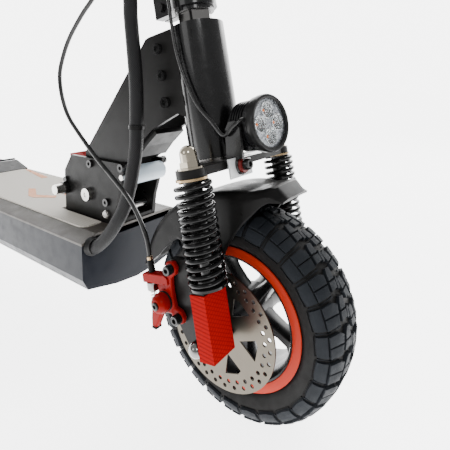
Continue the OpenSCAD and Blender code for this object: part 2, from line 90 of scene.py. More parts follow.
def mat(name, col, rough=0.5, metal=0.0, var=0.12, vscale=30, rvar=0.08, bump=0.15, bscale=900, bdist=0.0004, coat=0.0,
        spec=0.5, stretch=(1, 1, 1), speck=0.0, speck_col=(0.3, 0.3, 0.3), clearcoat_rough=0.08, emit=0.0):
    "a moulded, painted or metal surface: colour drift, roughness drift and a fine relief, with optional worn specks"
    m, nt, b = nodes_of(name)
    L = nt.links.new
    tc = nt.nodes.new("ShaderNodeTexCoord")
    mp = nt.nodes.new("ShaderNodeMapping")
    mp.inputs["Scale"].default_value = stretch
    L(tc.outputs["Object"], mp.inputs["Vector"])
    n1 = nt.nodes.new("ShaderNodeTexNoise")
    n1.inputs["Scale"].default_value = vscale
    n1.inputs["Detail"].default_value = 4
    L(mp.outputs["Vector"], n1.inputs["Vector"])
    mix = nt.nodes.new("ShaderNodeMix")
    mix.data_type = "RGBA"
    lo = [max(0, c * (1 - var)) for c in col[:3]] + [1]
    hi = [min(1, c * (1 + var)) for c in col[:3]] + [1]
    mix.inputs[6].default_value = lo
    mix.inputs[7].default_value = hi
    L(n1.outputs["Fac"], mix.inputs["Factor"])
    out = mix.outputs[2]
    if speck:
        n3 = nt.nodes.new("ShaderNodeTexNoise")
        n3.inputs["Scale"].default_value = vscale * 9
        n3.inputs["Detail"].default_value = 6
        L(mp.outputs["Vector"], n3.inputs["Vector"])
        rmp = nt.nodes.new("ShaderNodeMapRange")
        rmp.inputs["From Min"].default_value = 0.66
        rmp.inputs["From Max"].default_value = 0.74
        rmp.inputs["To Max"].default_value = speck
        L(n3.outputs["Fac"], rmp.inputs["Value"])
        mx = nt.nodes.new("ShaderNodeMix")
        mx.data_type = "RGBA"
        L(rmp.outputs["Result"], mx.inputs["Factor"])
        L(out, mx.inputs[6])
        mx.inputs[7].default_value = list(speck_col) + [1]
        out = mx.outputs[2]
    L(out, b.inputs["Base Color"])
    n2 = nt.nodes.new("ShaderNodeTexNoise")
    n2.inputs["Scale"].default_value = vscale * 2.3
    n2.inputs["Detail"].default_value = 5
    L(mp.outputs["Vector"], n2.inputs["Vector"])
    mr = nt.nodes.new("ShaderNodeMapRange")
    mr.inputs["From Min"].default_value = 0.3
    mr.inputs["From Max"].default_value = 0.7
    mr.inputs["To Min"].default_value = max(0.02, rough - rvar)
    mr.inputs["To Max"].default_value = min(1, rough + rvar)
    L(n2.outputs["Fac"], mr.inputs["Value"])
    L(mr.outputs["Result"], b.inputs["Roughness"])
    if bump:
        n4 = nt.nodes.new("ShaderNodeTexNoise")
        n4.inputs["Scale"].default_value = bscale
        n4.inputs["Detail"].default_value = 3
        L(mp.outputs["Vector"], n4.inputs["Vector"])
        bp = nt.nodes.new("ShaderNodeBump")
        bp.inputs["Strength"].default_value = bump
        bp.inputs["Distance"].default_value = bdist
        L(n4.outputs["Fac"], bp.inputs["Height"])
        L(bp.outputs["Normal"], b.inputs["Normal"])
    b.inputs["Metallic"].default_value = metal
    b.inputs["Specular IOR Level"].default_value = spec
    b.inputs["Coat Weight"].default_value = coat
    b.inputs["Coat Roughness"].default_value = clearcoat_rough
    if emit:
        b.inputs["Emission Color"].default_value = list(col[:3]) + [1]
        b.inputs["Emission Strength"].default_value = emit
    return m


def brushed(name, col, rough, centre):
    "metal brushed in rings about an axis along Y through the centre"
    m, nt, b = nodes_of(name)
    L = nt.links.new
    tc = nt.nodes.new("ShaderNodeTexCoord")
    sub = nt.nodes.new("ShaderNodeVectorMath")
    sub.operation = "SUBTRACT"
    sub.inputs[1].default_value = centre
    L(tc.outputs["Object"], sub.inputs[0])
    mul = nt.nodes.new("ShaderNodeVectorMath")
    mul.operation = "MULTIPLY"
    mul.inputs[1].default_value = (1, 0, 1)
    L(sub.outputs[0], mul.inputs[0])
    ln = nt.nodes.new("ShaderNodeVectorMath")
    ln.operation = "LENGTH"
    L(mul.outputs[0], ln.inputs[0])
    n = nt.nodes.new("ShaderNodeTexNoise")
    n.noise_dimensions = "1D"
    n.inputs["Scale"].default_value = 2200
    n.inputs["Detail"].default_value = 5
    L(ln.outputs["Value"], n.inputs["W"])
    n2 = nt.nodes.new("ShaderNodeTexNoise")
    n2.inputs["Scale"].default_value = 45
    L(tc.outputs["Object"], n2.inputs["Vector"])
    mx = nt.nodes.new("ShaderNodeMix")
    mx.data_type = "RGBA"
    mx.inputs[6].default_value = [c * 0.7 for c in col] + [1]
    mx.inputs[7].default_value = [min(1, c * 1.2) for c in col] + [1]
    ad = nt.nodes.new("ShaderNodeMath")
    ad.operation = "AVERAGE" if False else "MULTIPLY_ADD"
    ad.inputs[1].default_value = 0.6
    L(n.outputs["Fac"], ad.inputs[0])
    ml = nt.nodes.new("ShaderNodeMath")
    ml.operation = "MULTIPLY"
    ml.inputs[1].default_value = 0.4
    L(n2.outputs["Fac"], ml.inputs[0])
    L(ml.outputs[0], ad.inputs[2])
    L(ad.outputs[0], mx.inputs["Factor"])
    L(mx.outputs[2], b.inputs["Base Color"])
    mr = nt.nodes.new("ShaderNodeMapRange")
    mr.inputs["To Min"].default_value = rough - 0.1
    mr.inputs["To Max"].default_value = rough + 0.12
    L(n.outputs["Fac"], mr.inputs["Value"])
    L(mr.outputs["Result"], b.inputs["Roughness"])
    bp = nt.nodes.new("ShaderNodeBump")
    bp.inputs["Strength"].default_value = 0.25
    bp.inputs["Distance"].default_value = 0.0002
    L(n.outputs["Fac"], bp.inputs["Height"])
    L(bp.outputs["Normal"], b.inputs["Normal"])
    b.inputs["Metallic"].default_value = 1
    return m


def patterned(name, col, shade_col, rough, freq, kind="braid", strength=0.8, dist=0.0006, metal=0.0, spec=0.5, emit=0.0, coords="UV", sharp=3.0):
    """two crossing families of lines: a cable braid, a rubber rib, or the cells of a reflector; the low lines of the
    relief take a darker colour, painted shade in the grooves
    """
    m, nt, b = nodes_of(name)
    L = nt.links.new
    tc = nt.nodes.new("ShaderNodeTexCoord")
    sep = nt.nodes.new("ShaderNodeSeparateXYZ")
    L(tc.outputs[coords], sep.inputs[0])

    def lin(a, ka, bb, kb):
        x = nt.nodes.new("ShaderNodeMath"); x.operation = "MULTIPLY"; x.inputs[1].default_value = ka
        L(sep.outputs[a], x.inputs[0])
        y = nt.nodes.new("ShaderNodeMath"); y.operation = "MULTIPLY_ADD"; y.inputs[1].default_value = kb
        L(sep.outputs[bb], y.inputs[0]); L(x.outputs[0], y.inputs[2])
        z = nt.nodes.new("ShaderNodeMath"); z.operation = "SINE"
        L(y.outputs[0], z.inputs[0])
        w = nt.nodes.new("ShaderNodeMath"); w.operation = "MULTIPLY_ADD"; w.inputs[1].default_value = 0.5; w.inputs[2].default_value = 0.5
        L(z.outputs[0], w.inputs[0])
        return w
    a, c = lin(*freq[0]), lin(*freq[1])
    mn = nt.nodes.new("ShaderNodeMath")
    mn.operation = "MAXIMUM" if kind == "braid" else "MINIMUM"
    L(a.outputs[0], mn.inputs[0]); L(c.outputs[0], mn.inputs[1])
    pw = nt.nodes.new("ShaderNodeMath"); pw.operation = "POWER"; pw.inputs[1].default_value = 1 / sharp if kind == "cells" else sharp
    L(mn.outputs[0], pw.inputs[0])
    mx = nt.nodes.new("ShaderNodeMix"); mx.data_type = "RGBA"
    # the low lines get the darker colour: painted shade in the grooves
    mx.inputs[6].default_value = list(shade_col) + [1]
    mx.inputs[7].default_value = list(col) + [1]
    L(pw.outputs[0], mx.inputs["Factor"])
    L(mx.outputs[2], b.inputs["Base Color"])
    bp = nt.nodes.new("ShaderNodeBump")
    bp.inputs["Strength"].default_value = strength
    bp.inputs["Distance"].default_value = dist
    L(pw.outputs[0], bp.inputs["Height"])
    L(bp.outputs["Normal"], b.inputs["Normal"])
    b.inputs["Roughness"].default_value = rough
    b.inputs["Metallic"].default_value = metal
    b.inputs["Specular IOR Level"].default_value = spec
    # a glow in the pattern's colours; on the reflector this is painted light
    if emit:
        L(mx.outputs[2], b.inputs["Emission Color"])
        b.inputs["Emission Strength"].default_value = emit
    return m


M = {
    "frame": mat("satin_black_paint", (0.0065, 0.0062, 0.006), 0.36, var=0.25, bump=0.25, bscale=1400, bdist=0.0003, spec=0.11, speck=0.06, speck_col=(0.03, 0.028, 0.026)),
    "gloss": mat("gloss_black_paint", (0.003, 0.003, 0.0032), 0.24, var=0.2, bump=0.05, bscale=1500, bdist=0.0002, coat=0.3, spec=0.2),
    "deck": mat("deck_blue_black_paint", (0.005, 0.0065, 0.0105), 0.36, var=0.25, bump=0.18, bscale=1300, bdist=0.0002, spec=0.12, speck=0.08, speck_col=(0.02, 0.024, 0.03)),
    "deck_edge": mat("deck_edge_film", (0.045, 0.038, 0.031), 0.5, var=0.18, bump=0.5, bscale=2200, bdist=0.0003),
    "plastic": mat("black_moulded_plastic", (0.0045, 0.0043, 0.0042), 0.34, var=0.25, bump=0.3, bscale=1800, bdist=0.0002, spec=0.10),
    "steel": mat("zinc_steel", (0.60, 0.59, 0.56), 0.28, metal=1, var=0.15, bump=0.2, bscale=700, bdist=0.0002, speck=0.4, speck_col=(0.25, 0.23, 0.2)),
    "chrome": mat("chrome", (0.42, 0.375, 0.30), 0.10, metal=1, var=0.05, rvar=0.05, bump=0.05, bscale=300, bdist=0.0002),
    "blacksteel": mat("black_steel", (0.007, 0.007, 0.007), 0.2, metal=0.0, var=0.3, bump=0.15, bscale=1100, bdist=0.0002, spec=0.35, speck=0.1, speck_col=(0.05, 0.05, 0.05)),
    "alloy_black": mat("anodised_black_alloy", (0.006, 0.006, 0.0065), 0.3, metal=0.0, var=0.2, bump=0.12, bscale=1600, bdist=0.0002, spec=0.3),
    "roller": mat("nylon_roller", (0.56, 0.66, 0.74), 0.35, var=0.06, bump=0.15, bscale=300, bdist=0.0003, spec=0.5),
    "rubber": mat("black_rubber", (0.008, 0.008, 0.008), 0.55, var=0.3, bump=0.4, bscale=1500, bdist=0.0003, spec=0.2),
    "cable": mat("cable_jacket", (0.005, 0.005, 0.005), 0.28, var=0.2, bump=0.15, bscale=1200, bdist=0.0002, spec=0.35),
    "red": mat("red_enamel", (0.21, 0.003, 0.002), 0.36, var=0.15, bump=0.15, bscale=700, bdist=0.0002, coat=0.0, spec=0.07),
    "red_metal": mat("red_anodised", (0.12, 0.006, 0.004), 0.33, metal=0.3, var=0.15, bump=0.2, bscale=900, bdist=0.0002),
    "rim": mat("rim_red_paint", (0.36, 0.018, 0.004), 0.4, var=0.14, bump=0.15, bscale=700, bdist=0.0002, coat=0.0, spec=0.12),
    # tyre: one rubber in two tones; the tread blocks are a lighter blue-grey as painted light on their tops, and the
    # carcass is darker as painted shade in the gaps between blocks
    "tyre": mat("tyre_tread_rubber_painted_lit_tops", (0.0125, 0.0145, 0.0175), 0.6, var=0.3, vscale=60, bump=0.6, bscale=1300, bdist=0.0004, spec=0.08),
    "tyre_side": mat("tyre_carcass_rubber_painted_gap_shade", (0.0055, 0.0052, 0.005), 0.6, var=0.3, vscale=60, bump=0.4, bscale=900, bdist=0.0004, spec=0.12),
    "grey_metal": mat("lamp_bezel_grey", (0.30, 0.31, 0.32), 0.34, metal=0.9, var=0.1, bump=0.1, bscale=900, bdist=0.0002),
    "silver": mat("lamp_reflector_silver", (0.50, 0.52, 0.56), 0.14, metal=1.0, var=0.9, vscale=330, rvar=0.05, bump=1.0, bscale=420, bdist=0.004),
    # LED chips: orange with a faint glow that is a painted glint, the lamp not being lit
    "led": mat("led_chip_orange_painted_glint", (0.55, 0.13, 0.02), 0.4, var=0.1, bump=0.1, bscale=2500, bdist=0.0002, emit=0.3),
    "bezel": mat("lamp_bezel_black", (0.007, 0.007, 0.007), 0.3, var=0.15, bump=0.06, bscale=1500, bdist=0.0002, spec=0.2),
    "web": mat("lamp_web_silver", (0.30, 0.315, 0.335), 0.3, metal=0.8, var=0.3, vscale=120, bump=0.6, bscale=300, bdist=0.0015),
    "chrome_dark": mat("chrome_dark", (0.20, 0.195, 0.19), 0.12, metal=1, var=0.08, rvar=0.04, bump=0.04, bscale=300, bdist=0.0002),
    "plate": mat("zinc_plate", (0.62, 0.63, 0.64), 0.38, metal=0.3, var=0.08, bump=0.1, bscale=800, bdist=0.0002),
    "spring": mat("spring_black_enamel", (0.0025, 0.0025, 0.0026), 0.13, var=0.2, rvar=0.03, bump=0.03, bscale=900, bdist=0.0001, spec=0.16),
    "battery": mat("battery_wrap_blue", (0.05, 0.12, 0.32), 0.4, var=0.1),
    "alloy": mat("bare_alloy", (0.5, 0.5, 0.52), 0.4, metal=1, var=0.1),
    "screen": mat("display_glass", (0.010, 0.013, 0.016), 0.08, var=0.1, bump=0.02, coat=1.0),
    "tail": mat("tail_lens_red", (0.30, 0.004, 0.004), 0.3, var=0.1, bump=0.3, bscale=450, bdist=0.0006, coat=0.6),
    "gold": mat("gold_washer", (0.42, 0.30, 0.17), 0.25, metal=1, var=0.1),
    "orange": mat("orange_mark", (0.60, 0.22, 0.07), 0.6, var=0.15, bump=0.3, bscale=1800),
    "pivot": mat("bolt_zinc", (0.52, 0.51, 0.49), 0.33, metal=1, var=0.2, bump=0.2, bscale=800, bdist=0.0002, speck=0.5, speck_col=(0.2, 0.19, 0.17)),
    "disc": brushed("brake_disc_steel", (0.115, 0.102, 0.082), 0.34, (0.44, 0, 0.128)),
    # braid and grip: their darker line colour is painted shade between the strands and ribs
    "braid": patterned("braided_sleeve_painted_gap_shade", (0.012, 0.012, 0.013), (0.001, 0.001, 0.001), 0.5, ((0, 2 * math.pi * 22, 1, 2 * math.pi * 330), (0, 2 * math.pi * 22, 1, -2 * math.pi * 330)), "braid", 0.6, 0.0004, sharp=2.0, spec=0.15),
    # reflector: its faint red glow is painted light, as the reflector is no lamp; the cell pattern itself is real
    "reflector": patterned("red_reflector_cells_painted_glow", (0.27, 0.0, 0.0), (0.12, 0.0, 0.0), 0.45, ((2, 1500, 1, 900), (2, 1500, 1, -900)), "cells", 0.3, 0.0003, emit=0.12, spec=0.02, coords="Object", sharp=4.0),
    "grip": patterned("grip_rubber_ribs_painted_groove_shade", (0.02, 0.02, 0.02), (0.007, 0.007, 0.007), 0.6, ((1, 1500, 0, 0), (1, 1500, 0, 700)), "braid", 0.8, 0.0008, coords="Object", sharp=1.5),
}
# rider's mat: fine crossing grooves in grey rubber, the grooves darkened with painted shade
M["mat"] = patterned("mat_grooved_rubber_painted_groove_shade", (0.60, 0.565, 0.50), (0.34, 0.32, 0.28), 0.7, ((0, 1400, 1, 0), (0, 0, 1, 1400)), "cells", 0.5, 0.0005, coords="Object", sharp=3.0)
# clear lens
lm, lnt, lb = nodes_of("lamp_clear_lens")
lb.inputs["Base Color"].default_value = (0.95, 0.97, 1, 1)
lb.inputs["Roughness"].default_value = 0.04
lb.inputs["Transmission Weight"].default_value = 0.9
lb.inputs["IOR"].default_value = 1.2
lb.inputs["Alpha"].default_value = 0.03
ln_ = lnt.nodes.new("ShaderNodeTexNoise"); ln_.inputs["Scale"].default_value = 120
lbp = lnt.nodes.new("ShaderNodeBump"); lbp.inputs["Strength"].default_value = 0.05; lbp.inputs["Distance"].default_value = 0.0003
lnt.links.new(ln_.outputs["Fac"], lbp.inputs["Height"]); lnt.links.new(lbp.outputs["Normal"], lb.inputs["Normal"])
M["lens"] = lm

CADMAT = dict(
    deck_tray="deck", deck_top_plate="deck_edge", deck_mat="mat", rear_footrest="plastic", battery_pack="battery", motor_controller="alloy",
    charge_socket="plastic", base_bracket="frame", base_bolts="blacksteel", hinge_shafts="pivot", bumper_roller="roller", lock_pin="steel",
    release_lever="red", kickstand="blacksteel", head_tube="gloss", arm_plates="frame", arm_bolts="blacksteel", headset_bearings="steel",
    steerer_tube="steel", headset_nut="chrome_dark", fork_crown="frame", crown_nuts="chrome", shock_rods="blacksteel", headlight_bracket="blacksteel",
    crown_stop_bolt="plate", stem_tube="gloss", stem_clamp="gloss", stem_clamp_bolts="blacksteel", handlebar="alloy_black", grips="grip",
    display_unit="screen", brake_perches="alloy_black", headlight_body="alloy_black", headlight_reflector="silver", headlight_lens="lens",
    fork_leg_right="frame", fork_leg_left="frame", leg_reflectors="reflector", front_axle="chrome_dark", caliper_body="red_metal",
    caliper_bolts="blacksteel", caliper_arm="red_metal", front_disc="disc", lever_right="alloy_black", lever_left="alloy_black",
    throttle="plastic", horn_button="red", swingarm="frame", rear_fender="plastic", tail_light="tail", rear_motor="alloy_black",
    front_fender="plastic", front_tyre="tyre", rear_tyre="tyre", front_rim="rim", front_springs="blacksteel", rear_springs="red",
    cable_sleeve="braid", front_brake_cable="cable", lamp_cable="cable")
for n, o in N.items():
    m = M[CADMAT[n]]
    if not o.material_slots:
        o.data.materials.append(m)
    for s in o.material_slots:
        s.material = m


# ------------------------------------------------------------------ mesh helpers
def add(name, verts, faces, material, smooth=True, uvs=None, angle=None):
    me = bpy.data.meshes.new(name)
    me.from_pydata([tuple(v) for v in verts], [], faces)
    me.validate()
    if uvs:
        uv = me.uv_layers.new(name="UVMap")
        for p in me.polygons:
            for li in p.loop_indices:
                uv.data[li].uv = uvs[me.loops[li].vertex_index]
    o = bpy.data.objects.new(name, me)
    bpy.context.scene.collection.objects.link(o)
    me.materials.append(material)
    bm = bmesh.new(); bm.from_mesh(me)
    bmesh.ops.recalc_face_normals(bm, faces=bm.faces)
    bm.to_mesh(me); bm.free()
    for p in me.polygons:
        p.use_smooth = smooth
    if angle:
        me.set_sharp_from_angle(angle=math.radians(angle))
    return o


def bevel(o, w=0.0006, seg=2, ang=35):
    b = o.modifiers.new("edge", "BEVEL")
    b.width = w; b.segments = seg; b.limit_method = "ANGLE"; b.angle_limit = math.radians(ang)
    b.harden_normals = False
    return o


def cat(path, sub, closed=False):
    "points on a smooth curve through a route"
    P = [Vector(p) for p in path]
    out = []
    n = len(P)
    for i in range(n - 1):
        p0, p1, p2, p3 = P[max(i - 1, 0)], P[i], P[i + 1], P[min(i + 2, n - 1)]
        for k in range(sub):
            t = k / sub
            out.append(0.5 * ((2 * p1) + (-p0 + p2) * t + (2 * p0 - 5 * p1 + 4 * p2 - p3) * t * t + (-p0 + 3 * p1 - 3 * p2 + p3) * t ** 3))
    out.append(P[-1])
    return out


def tube(name, pts, r, sides, material, ref=(0, 1, 0), radii=None, caps=True, vlen=None):
    "a round tube along points in metres; the UV's v runs along it, in lengths of vlen"
    verts, faces, uvs = [], [], []
    n = len(pts)
    run = 0
    ref = Vector(ref)
    for i, p in enumerate(pts):
        t = (pts[min(i + 1, n - 1)] - pts[max(i - 1, 0)]).normalized()
        a = ref.cross(t).normalized(); b = t.cross(a)
        if i:
            run += (p - pts[i - 1]).length
        rr = radii[i] if radii else r
        for j in range(sides + 1):
            w = 2 * math.pi * j / sides
            verts.append(p + a * (rr * math.cos(w)) + b * (rr * math.sin(w)))
            uvs.append((j / sides, run))
    k = sides + 1
    for i in range(n - 1):
        for j in range(sides):
            faces.append((i * k + j, i * k + j + 1, (i + 1) * k + j + 1, (i + 1) * k + j))
    if caps:
        for i in (0, n - 1):
            verts.append(pts[i]); uvs.append((0, 0))
            for j in range(sides):
                faces.append((len(verts) - 1, i * k + j, i * k + j + 1))
    return add(name, verts, faces, material, uvs=uvs, angle=50)


def lathe(name, prof, centre, material, seg=128, axis="Y", angle=35, closed=True):
    "turns a profile of (along, radius) about an axis through the centre, in millimetres"
    verts, faces = [], []
    n = len(prof)
    c = Vector(centre)
    for i in range(seg):
        a = 2 * math.pi * i / seg
        for (h, r) in prof:
            if axis == "Y":
                verts.append(c + Vector((r * math.cos(a), h, r * math.sin(a))) / 1000)
            elif axis == "S":
                verts.append(c + (Vector((CR, 0, SR)) * h + Vector((0, 1, 0)) * r * math.cos(a) + Vector((-SR, 0, CR)) * r * math.sin(a)) / 1000)
            else:
                verts.append(c + (Vector((-SR, 0, CR)) * h + Vector((CR, 0, SR)) * r * math.cos(a) + Vector((0, 1, 0)) * r * math.sin(a)) / 1000)
    m = n if closed else n - 1
    for i in range(seg):
        for j in range(m):
            faces.append((i * n + j, i * n + (j + 1) % n, ((i + 1) % seg) * n + (j + 1) % n, ((i + 1) % seg) * n + j))
    return add(name, verts, faces, material, angle=angle)


def join(name, objs):
    bpy.ops.object.select_all(action="DESELECT")
    for o in objs:
        o.select_set(True)
    bpy.context.view_layer.objects.active = objs[0]
    bpy.ops.object.join()
    objs[0].name = name
    return objs[0]


# ------------------------------------------------------------------ tyres with block tread
CROSS = [(-37.2, 92), (-39.6, 101), (-39.2, 108.5), (-36.0, 115.0), (-30, 119.6), (-20, 122.6), (-8, 123.9), (0, 124.1),
         (8, 123.9), (20, 122.6), (30, 119.6), (36.0, 115.0), (39.2, 108.5), (39.6, 101), (37.2, 92)]


def cross_at(u, h):
    "a point (y, r) on the tread surface, u from -1 to 1 over the tread, h millimetres off it"
    lo, hi = 2, 12
    x = lo + (u + 1) / 2 * (hi - lo)
    i = min(int(x), hi - 1); k = x - i
    P = [Vector(CROSS[max(0, min(len(CROSS) - 1, i + d))]) for d in (-1, 0, 1, 2)]
    p = 0.5 * ((2 * P[1]) + (-P[0] + P[2]) * k + (2 * P[0] - 5 * P[1] + 4 * P[2] - P[3]) * k * k + (-P[0] + 3 * P[1] - 3 * P[2] + P[3]) * k ** 3)
    d = 0.5 * ((-P[0] + P[2]) + 2 * (2 * P[0] - 5 * P[1] + 4 * P[2] - P[3]) * k + 3 * (-P[0] + 3 * P[1] - 3 * P[2] + P[3]) * k * k)
    nrm = Vector((-d.y, d.x)).normalized()
    if nrm.y < 0:
        nrm = -nrm
    return p + nrm * h


def make_tyre(tag, cx):
    prof = [(-31.5, 75.2), (-33, 77), (-32.8, 86.5), (-35.4, 88.5)] + [tuple(cross_at(0, 0)) if False else c for c in CROSS] + \
        [(35.4, 88.5), (32.8, 86.5), (33, 77), (31.5, 75.2), (28, 80), (24, 100), (0, 112), (-24, 100), (-28, 80)]
    # the carcass takes the darker copy of the rubber: painted shade in the gaps between the blocks
    base = lathe(tag + "_carcass", prof, (cx / 1000, 0, 0.128), M["tyre_side"], seg=144, angle=40)
    verts, faces = [], []
    P = 26

    def block(poly, h=3.7, z0=-1.2, inset=0.92):
        "poly of (angle in pitches, u); rings at its foot, shoulder and chamfered top"
        ca = sum(p[0] for p in poly) / len(poly); cu = sum(p[1] for p in poly) / len(poly)
        b0 = len(verts)
        for (hh, k) in ((z0, 1.05), (h - 0.5, 1.0), (h, inset)):
            for (a, u) in poly:
                aa = ca + (a - ca) * k; uu = cu + (u - cu) * k
                y, r = cross_at(max(-1.2, min(1.2, uu)), hh)
                w = 2 * math.pi * aa / P
                verts.append(Vector((cx + r * math.cos(w), y, 128 + r * math.sin(w))) / 1000)
        y, r = cross_at(cu, h + 0.15)
        w = 2 * math.pi * ca / P
        verts.append(Vector((cx + r * math.cos(w), y, 128 + r * math.sin(w))) / 1000)
        n = len(poly)
        for q in range(2):
            for j in range(n):
                faces.append((b0 + q * n + j, b0 + q * n + (j + 1) % n, b0 + (q + 1) * n + (j + 1) % n, b0 + (q + 1) * n + j))
        for j in range(n):
            faces.append((b0 + 2 * n + j, b0 + 2 * n + (j + 1) % n, b0 + 3 * n))
    for i in range(P):
        for sg in (-1, 1):
            o = i + (0.5 if sg > 0 else 0)
            # low shoulder tile that wraps over the edge
            for ua, ub in ((0.77, 0.88), (0.88, 0.98), (0.98, 1.07), (1.07, 1.15)):
                block([(o + 0.05, sg * ua), (o + 0.84, sg * ua), (o + 0.84, sg * ub), (o + 0.05, sg * ub)], h=2.0, z0=-0.8, inset=1.0)
            # raised shoulder block, split by a fine slit
            block([(o + 0.05, sg * 0.40), (o + 0.38, sg * 0.37), (o + 0.42, sg * 0.74), (o + 0.05, sg * 0.74)], h=3.9, inset=0.95)
            block([(o + 0.42, sg * 0.365), (o + 0.70, sg * 0.34), (o + 0.84, sg * 0.46), (o + 0.84, sg * 0.74), (o + 0.46, sg * 0.74)], h=3.9, inset=0.95)
            # inner block with its own slit
            block([(o + 0.10, sg * 0.12), (o + 0.36, sg * 0.09), (o + 0.40, sg * 0.31), (o + 0.10, sg * 0.34)], h=3.8, inset=0.94)
            block([(o + 0.42, sg * 0.085), (o + 0.80, sg * 0.05), (o + 0.84, sg * 0.22), (o + 0.68, sg * 0.28), (o + 0.45, sg * 0.305)], h=3.8, inset=0.94)
            # low rib along the groove
            block([(o + 0.915, sg * 0.34), (o + 0.965, sg * 0.34), (o + 0.965, sg * 1.08), (o + 0.915, sg * 1.08)], h=1.2, z0=-0.6, inset=0.98)
        block([(i + 0.02, -0.10), (i + 0.34, -0.06), (i + 0.44, 0.02), (i + 0.34, 0.06), (i + 0.02, 0.02)], h=3.6, inset=0.9)
    tread = add(tag + "_tread_blocks", verts, faces, M["tyre"], smooth=True, angle=28)
    return base, tread


ft, ftr = make_tyre("front_tyre_visual", 440)
for o in (ft, ftr):
    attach(o, "front_wheel")
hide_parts("front_tyre")
rt, rtr = make_tyre("rear_tyre_visual", -440)
for o in (rt, rtr):
    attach(o, "rear_wheel")
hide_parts("rear_tyre")

# ------------------------------------------------------------------ front rim: red ring with black spokes and hub
lip_a = lathe("lip_a", [(-35.0, 75.6), (-36.2, 76.2), (-36.6, 78), (-36.4, 84.8), (-35.6, 86.2), (-34.0, 86.2), (-33.4, 85), (-33.2, 77.5), (-33.6, 75.6)], (0.44, 0, 0.128), M["rim"], seg=144)
lip_b = lathe("lip_b", [(35.0, 75.6), (36.2, 76.2), (36.6, 78), (36.4, 84.8), (35.6, 86.2), (34.0, 86.2), (33.4, 85), (33.2, 77.5), (33.6, 75.6)], (0.44, 0, 0.128), M["rim"], seg=144)
rr = join("front_rim_ring", [lip_a, lip_b])
barrel = lathe("front_rim_barrel", [(-35.9, 75.4), (-35.4, 73.4), (-31, 71.2), (-20, 69.5), (20, 69.5), (31, 71.2), (35.4, 73.4), (35.9, 75.4), (33.2, 75.4), (31, 74.3), (-31, 74.3), (-33.2, 75.4)], (0.44, 0, 0.128), M["alloy_black"], seg=144)
verts, faces = [], []
for i in range(5):
    a0 = math.radians(72 * i + 52)
    for (r, w, t) in ((18, 11, 15), (30, 8.5, 13), (48, 7, 11), (62, 8, 12), (69.5, 13, 16)):
        for (dw, dy) in ((-1, -0.55), (-0.6, -1), (0.6, -1), (1, -0.55), (1, 0.55), (0.6, 1), (-0.6, 1), (-1, 0.55)):
            x = Vector((math.cos(a0), 0, math.sin(a0))) * r + Vector((-math.sin(a0), 0, math.cos(a0))) * w * dw + Vector((0, 1, 0)) * t * dy
            verts.append((x + Vector((440, 0, 128))) / 1000)
    b0 = i * 40
    for k in range(4):
        for j in range(8):
            faces.append((b0 + k * 8 + j, b0 + k * 8 + (j + 1) % 8, b0 + (k + 1) * 8 + (j + 1) % 8, b0 + (k + 1) * 8 + j))
    faces.append(tuple(b0 + j for j in range(8)))
    faces.append(tuple(b0 + 32 + j for j in range(8)))
spokes = bevel(add("front_spokes", verts, faces, M["alloy_black"], angle=35), 0.001)
hub = lathe("front_hub", [(-60.8, 6.2), (-60.8, 24), (-57, 24.5), (-55, 21), (-20, 20), (-16, 24), (16, 24), (20, 20), (50, 20), (54, 22), (58, 21), (58, 6.2)], (0.44, 0, 0.128), M["alloy_black"], seg=64)
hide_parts("front_rim")
for o in (rr, barrel, spokes, hub):
    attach(o, "front_wheel")
verts, faces = [], []


def bolt_heads(name, spots, axis, r, h, material, body, hexr=None, dome=0.0):
    "socket heads: a chamfered drum with a hexagonal hole, at points with an outward direction"
    vs, fs = [], []
    for p in spots:
        a = Vector(axis).normalized()
        u = a.orthogonal().normalized(); w = a.cross(u)
        b0 = len(vs)
        rings = [(0, r, 24), (h * 0.8, r, 24), (h, r * 0.86, 24), (h, (hexr or r * 0.5) * 1.05, 24), (h * 0.35, (hexr or r * 0.5), 24), (h * 0.35, 0.01, 24)]
        for (hh, rad, n) in rings:
            for j in range(24):
                ang = 2 * math.pi * j / 24
                q = rad
                if rad == (hexr or r * 0.5) or rad == (hexr or r * 0.5) * 1.05:
                    q = rad * math.cos(math.pi / 6) / math.cos((ang % (math.pi / 3)) - math.pi / 6)
                vs.append(Vector(p) + a * hh / 1000 + (u * math.cos(ang) + w * math.sin(ang)) * q / 1000)
        for k in range(5):
            for j in range(24):
                fs.append((b0 + k * 24 + j, b0 + k * 24 + (j + 1) % 24, b0 + (k + 1) * 24 + (j + 1) % 24, b0 + (k + 1) * 24 + j))
    o = add(name, vs, fs, material, angle=40)
    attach(o, body)
    return o


db = bolt_heads("disc_bolts", [V(440 + 16 * math.cos(math.radians(72 * i + 16)), -62.9, 128 + 16 * math.sin(math.radians(72 * i + 16))) for i in range(5)], (0, -1, 0), 3.6, 2.6, M["blacksteel"], "front_wheel")

# ------------------------------------------------------------------ springs
def coil(name, turns, rad, wire, z0, z1, place, direction, material, seg=28, sides=10, flat=0.8):
    pts = []
    total = int(turns * seg)
    for i in range(total + 1):
        k = i / seg
        lead = (z1 - z0)
        # closed end turns
        x = i / total
        e = flat / turns
        if x < e:
            zz = z0 + wire * x / e
        elif x > 1 - e:
            zz = z1 - wire * (1 - x) / e
        else:
            zz = z0 + wire + (lead - 2 * wire) * (x - e) / (1 - 2 * e)
        a = 2 * math.pi * k
        pts.append(place(rad * math.cos(a), rad * math.sin(a), zz))
    return tube(name, pts, wire / 2000, sides, material, ref=direction)


